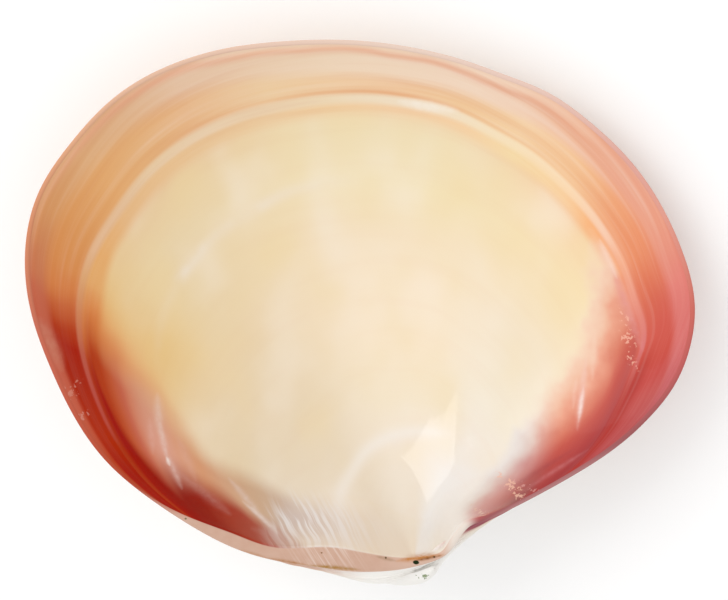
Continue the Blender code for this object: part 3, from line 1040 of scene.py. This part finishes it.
lipLook = {
    "plate": "c49c87",
    "plate near beak": "d3b2a0",
    "plate light": "d8bba9",
    "plate end": "e4d8cd",
    "plate line": "e6d6ca",
    "line slope": -33,
    "line strength": 0.6,
    "light strength": 0.5,
    "raggedness": (1.4, 0.2),  # of the stains and specks, and their least strength
    # stains on the plate: from, to, width, strength, colour
    "stains": [
        ((-14.8, -28.6), (-11, -29.65), 0.2, 0.5, "b07c50"),
        ((-11.4, -29.6), (-6, -30.55), 0.2, 0.75, "a8703c"),
        ((-6.4, -30.5), (0.2, -31.05), 0.24, 0.9, "a0742e"), ((4.2, -30), (10.2, -29.2), 0.34, 1, "bb7a3c"),
        ((6.4, -30), (9.9, -29.3), 0.16, 0.8, "7c4a20"), ((1.8, -29.4), (4.4, -30), 0.2, 0.5, "8a6c44"),
    ],
    # the dark crumbs' stains: middle, reach, colour
    "specks": [
        ((6.75, -30.15), (0.42, 0.26), "1c2a12"), ((3.1, -29.6), (0.14, 0.12), "5a4528"),
        ((8.9, -29.5), (0.13, 0.12), "4c3820"), ((-4.6, -29), (0.13, 0.11), "8c6a48"),
        ((-20.9, -24.9), (0.14, 0.12), "7c6c50"),
    ],
    "speck turn": 11.46,
    # over the plate, in millimetres, and over the crest
    "towards beak": (0, 9),
    "lines drawn": (0.45, 0.66),
    "lines about": (-4, 3.2),
    "plate ends": (9.8, 11.4),
    "plate below": (-23.6, -25.6),
    "plate behind": (14.4, 12.4),
    "crest": (1, 0.86),
    "speck edge": (0.3, 0.5),
}


def lipColour(kit, place, x, y, zone, bearing, inner):
    # The crest of the lip, and the flat hinge plate where it is widest.
    look = lipLook
    lip = ramp(kit, bearing, insideLook["lip"])
    plate = blend(kit, kit.rise(x, *look["towards beak"]), look["plate"], look["plate near beak"])
    grain = kit.times(kit.noise(place, *grains["plate"]), look["light strength"])
    plate = blend(kit, grain, plate, look["plate light"])
    across = kit.parts(kit.turned(place, math.radians(look["line slope"])))[0]
    lines = pattern(kit, "plate lines", across, y)
    lined = kit.times(kit.rise(lines, *look["lines drawn"]), kit.bump(x, *look["lines about"]))
    plate = blend(kit, kit.times(lined, look["line strength"]), plate, look["plate line"])
    plate = blend(kit, kit.rise(x, *look["plate ends"]), plate, look["plate end"])
    isPlate = kit.times(kit.rise(y, *look["plate below"]), kit.rise(x, *look["plate behind"]))
    colour = blend(kit, kit.rise(zone, *look["crest"]), inner, blend(kit, isPlate, lip, plate))
    raggedness, least = look["raggedness"]
    ragged = kit.plus(kit.times(kit.noise(place, *grains["ragged"]), raggedness), least)
    for start, end, width, strength, code in look["stains"]:
        share = streakShare(kit, place, start, end, width)
        colour = blend(kit, kit.times(share, ragged, strength), colour, code)
    for middle, reach, code in look["specks"]:
        share = patchShare(kit, place, middle, reach, look["speck turn"])
        colour = blend(kit, kit.rise(kit.times(share, ragged), *look["speck edge"]), colour, code)
    return colour


outsideLook = {
    # by growth
    "cream": [
        (0, "f6f4f0"), (0.1, "f6f3ee"), (0.3, "f2ece2"), (0.55, "efe2d0"), (0.75, "ecd5bc"), (0.9, "e6c3a5"),
        (1, "e2b89c"),
    ],
    # by bearing
    "blush": [
        (-90, "e6cfc0"), (-40, "d8a49c"), (10, "b8747a"), (30, "c0666a"), (45, "d4806f"), (60, "e4a584"),
        (80, "ecc9a4"), (105, "ebc8a2"), (125, "e4af80"), (140, "d48a58"), (155, "bb5a3c"), (170, "b4654c"),
        (200, "d2a892"), (270, "e6cfc0"),
    ],
    "chalk": "f7f4ef",
    "stain": "cdb497",
    "crease": "a8646c",
    # the green crumbs beside the beak: middle, reach, colour
    "crumbs": ((7.5, -32), (0.9, 0.4), "8f9c78"),
    "crumbs in patch": 0.2,
    "crumb edge": (0.66, 0.72),
    "patch edge": (0.15, 0.5),
    "sway": 0.01,
    "unevenness": 0.5,
    "blush by growth": (0.45, 1),
    "blush strength": 0.75,
    "chalky bands strength": 0.5,
    "stained bands strength": 0.35,
    "chalky ribs strength": 0.18,
    "chalky bands": (0.5, 0.75),
    "stained bands": (0.46, 0.3),
    "chalky ribs": (0.2, 1),
    # about the beak, in millimetres
    "white about beak": (17, 8),
    "white below": (-26, -30),
    "crease before": (11.6, 13.4),
    "crease below": (-17, -21),
    "crease by growth": (0.55, 0.85),
}


def outsideColour(kit, place, x, y, growth, bearing, ribs):
    look = outsideLook
    wave = kit.less(kit.noise(place, *grains["outer wave"]), 0.5)
    swaying = kit.plus(growth, kit.times(wave, look["sway"]))
    bands = pattern(kit, "outer bands", swaying, bearing)
    uneven = kit.plus(growth, kit.times(kit.less(bands, 0.5), look["unevenness"]))
    blushed = kit.times(kit.rise(uneven, *look["blush by growth"]), look["blush strength"])
    colour = blend(kit, blushed, ramp(kit, growth, look["cream"]), ramp(kit, bearing, look["blush"]))
    over = (bands, "chalky bands", "chalk"), (bands, "stained bands", "stain"), (ribs, "chalky ribs", "chalk")
    for value, kind, tint in over:
        share = kit.times(kit.rise(value, *look[kind]), look[kind + " strength"])
        colour = blend(kit, share, colour, look[tint])
    # white about the beak, and a mauve crease in front of it
    fromBeak = kit.vector("DISTANCE", place, outside["Beak"])
    hinge = kit.times(kit.rise(fromBeak, *look["white about beak"]), kit.rise(y, *look["white below"]))
    colour = blend(kit, hinge, colour, look["chalk"])
    crease = kit.times(kit.rise(x, *look["crease before"]), kit.rise(y, *look["crease below"]))
    crease = kit.times(crease, kit.rise(growth, *look["crease by growth"]))
    colour = blend(kit, crease, colour, look["crease"])
    middle, reach, code = look["crumbs"]
    near = patchShare(kit, place, middle, reach)
    crumbly = kit.plus(kit.noise(place, *grains["crumbs"]), kit.times(near, look["crumbs in patch"]))
    crumbs = kit.times(kit.rise(crumbly, *look["crumb edge"]), kit.rise(near, *look["patch edge"]))
    return blend(kit, crumbs, colour, code)


finish = {
    "roughness": 0.55,
    "polish": 0.3,  # how much smoother the hollow is
    "gloss": 0.06,
    "gloss at umbo": 0.66,
    "least gloss": 0.03,
    "gloss roughness": 0.05,
    "specular": 0.04,
    "grain": 0.35,
    "grain height": 0.12,
    "ripple": 0.12,
    "ribs in grain": 0.25,
    # by zone, which is 0 outside and 1 in the hollow
    "inside": (0, 0.1),
    "grained": (0.1, 0),
    "polished": (0.8, 1),
    # by growth
    "umbo": (0.5, 0.36),
}


def dressValve():
    material = bpy.data.materials.new("polished shell")
    material.use_nodes = True
    kit = Kit(material.node_tree)
    surface = material.node_tree.nodes["Principled BSDF"]
    streakGroup()
    patchGroup()
    place, x, y, growth, zone, bearing = placeNumbers(kit)
    fan = kit.parts(kit.add("ShaderNodeAttribute", attribute_name="fan").outputs["Vector"])
    ribs = kit.sum("SINE", kit.times(kit.sum("ARCTAN2", fan[1], fan[0]), relief["Ribs"]))
    inner = insideColour(kit, place, x, y, growth, bearing)
    inner = lipColour(kit, place, x, y, zone, bearing, inner)
    outer = outsideColour(kit, place, x, y, growth, bearing, ribs)
    isInside = kit.rise(zone, *finish["inside"])
    kit.wire(blend(kit, isInside, outer, inner), surface.inputs["Base Color"])
    polished = kit.rise(zone, *finish["polished"])
    roughness = kit.less(finish["roughness"], kit.times(polished, finish["polish"]))
    kit.wire(roughness, surface.inputs["Roughness"])
    atUmbo = kit.rise(growth, *finish["umbo"])
    glossy = kit.plus(kit.times(atUmbo, finish["gloss at umbo"]), finish["gloss"])
    coat = kit.plus(kit.times(polished, glossy), finish["least gloss"])
    kit.wire(coat, surface.inputs["Coat Weight"])
    surface.inputs["Coat Roughness"].default_value = finish["gloss roughness"]
    surface.inputs["Specular IOR Level"].default_value = finish["specular"]

    # fine growth lines and ribs outside, faint ripples inside
    lines = pattern(kit, "growth lines", growth, bearing)
    grain = kit.plus(lines, kit.times(ribs, finish["ribs in grain"]))
    rippled = pattern(kit, "ripples", growth, bearing)
    grain = kit.times(grain, kit.rise(zone, *finish["grained"]))
    height = kit.plus(grain, kit.times(rippled, isInside, finish["ripple"]))
    bumped = {"Strength": finish["grain"], "Distance": finish["grain height"] * mm, "Height": height}
    kit.wire(kit.add("ShaderNodeBump", bumped).outputs[0], surface.inputs["Normal"])
    print("shell finish mixed")
    return material


shellFinish = dressValve()
valve = makeValve(shellFinish)
valve.data.materials.clear()
valve.data.materials.append(shellFinish)
restShift = layDown(valve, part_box("valve"))
valve.data.shade_smooth()
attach(valve, "root")
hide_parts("valve")
print("valve laid down,", len(valve.data.polygons), "faces")


def fromPhoto(x, y, z):
    # A place over the lip's plane, in millimetres, as a place in the scene.
    return restTurn @ Vector((x, y, z)) * mm + restShift


cameraSet = {"over": (0.48, 1.32), "height": 260, "width seen": 87.36, "sensor": 36, "nearest": 0.01}


def makeCamera():
    lens = bpy.data.cameras.new("camera")
    lens.sensor_width = cameraSet["sensor"]
    lens.lens = cameraSet["sensor"] * cameraSet["height"] / cameraSet["width seen"]
    lens.clip_start = cameraSet["nearest"]
    camera = bpy.data.objects.new("camera", lens)
    bpy.context.scene.collection.objects.link(camera)
    camera.location = fromPhoto(*cameraSet["over"], cameraSet["height"])
    camera.rotation_euler = restTurn.to_euler()
    bpy.context.scene.camera = camera


tableSet = {"size": 6, "colour": (0.95, 0.95, 0.95, 1), "roughness": 0.9}


def makeStage():
    bpy.ops.mesh.primitive_plane_add(size=tableSet["size"], location=(0, 0, 0))
    table = bpy.context.object
    table.name = "table"
    paper = bpy.data.materials.new("white paper")
    paper.use_nodes = True
    surface = paper.node_tree.nodes["Principled BSDF"]
    surface.inputs["Base Color"].default_value = tableSet["colour"]
    surface.inputs["Roughness"].default_value = tableSet["roughness"]
    table.data.materials.append(paper)


softbox = {"place": (-450, 255, 560), "aim": (0, 0, -8), "size": (405, 405), "power": 1.22}
room = {"bright side": (-0.85, 0.35, 0.4), "dim": 0.92, "bright": 1.06}


def makeLamp():
    light = bpy.data.lights.new("key softbox", "AREA")
    light.shape = "RECTANGLE"
    light.size, light.size_y = (side * mm for side in softbox["size"])
    light.energy = softbox["power"]
    lamp = bpy.data.objects.new("key softbox", light)
    bpy.context.scene.collection.objects.link(lamp)
    at, target = fromPhoto(*softbox["place"]), fromPhoto(*softbox["aim"])
    lamp.location = at
    lamp.rotation_euler = (target - at).to_track_quat("-Z", "Y").to_euler()


def makeRoom():
    # A white room, brighter on the side of the softbox.
    world = bpy.data.worlds.new("white studio")
    bpy.context.scene.world = world
    world.use_nodes = True
    kit = Kit(world.node_tree)
    towards = kit.add("ShaderNodeTexCoord").outputs["Generated"]
    side = kit.vector("DOT_PRODUCT", towards, room["bright side"])
    light = kit.add("ShaderNodeMapRange", {
        "Value": side, "From Min": -1, "From Max": 1, "To Min": room["dim"], "To Max": room["bright"],
    })
    background = world.node_tree.nodes["Background"]
    background.inputs["Color"].default_value = (1, 1, 1, 1)
    kit.wire(light.outputs[0], background.inputs["Strength"])
    bpy.context.scene.view_settings.view_transform = "Standard"


makeCamera()
makeStage()
makeLamp()
makeRoom()
print("camera, table and lights set")
